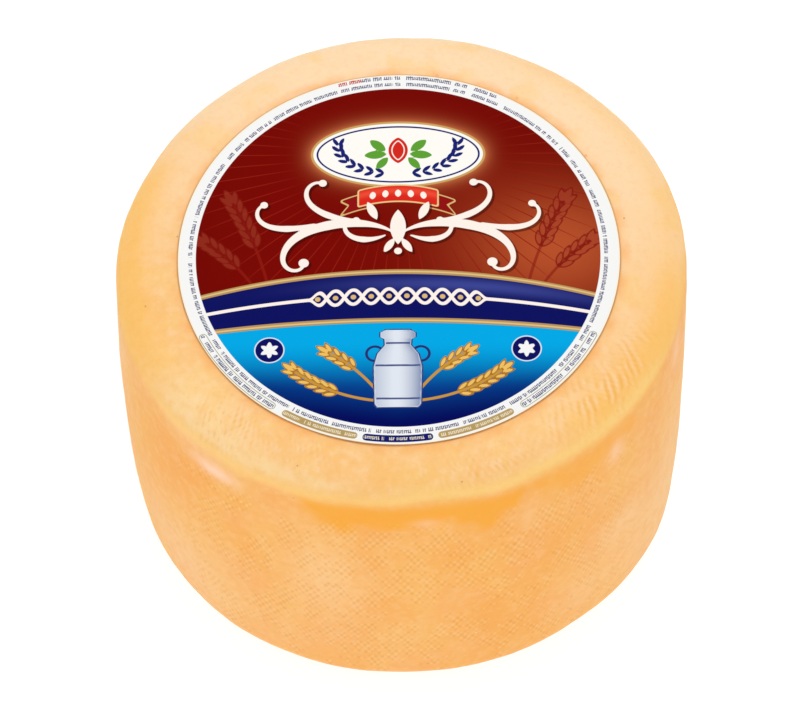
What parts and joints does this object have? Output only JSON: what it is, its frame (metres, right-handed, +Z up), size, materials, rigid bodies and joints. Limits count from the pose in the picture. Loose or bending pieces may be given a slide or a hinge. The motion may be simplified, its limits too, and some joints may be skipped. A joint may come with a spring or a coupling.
{
  "type": "reggianito cheese wheel",
  "caption": "Whole round wheel of hard grating cheese, pale orange-yellow rind with rounded edges and slightly bellied side, a round printed paper label lying on its flat top.",
  "frame": {"origin": "middle of the box round the part, on the surface that the wheel stands on", "axes": "+Z up along the wheel's height, +X to the right and -Y towards a viewer who reads the label upright"},
  "size_m": [0.2375, 0.2316, 0.1566],
  "materials": {
    "rind": "satin, pale orange-yellow cheese rind, mottled, with a faint cloth imprint",
    "label_paper": "smooth coated paper printed in dark red, navy, sky blue and gold inside a white ring"
  },
  "bodies": {
    "root": {"cheese_wheel": "rind", "label": "label_paper"}
  },
  "joints": []
}
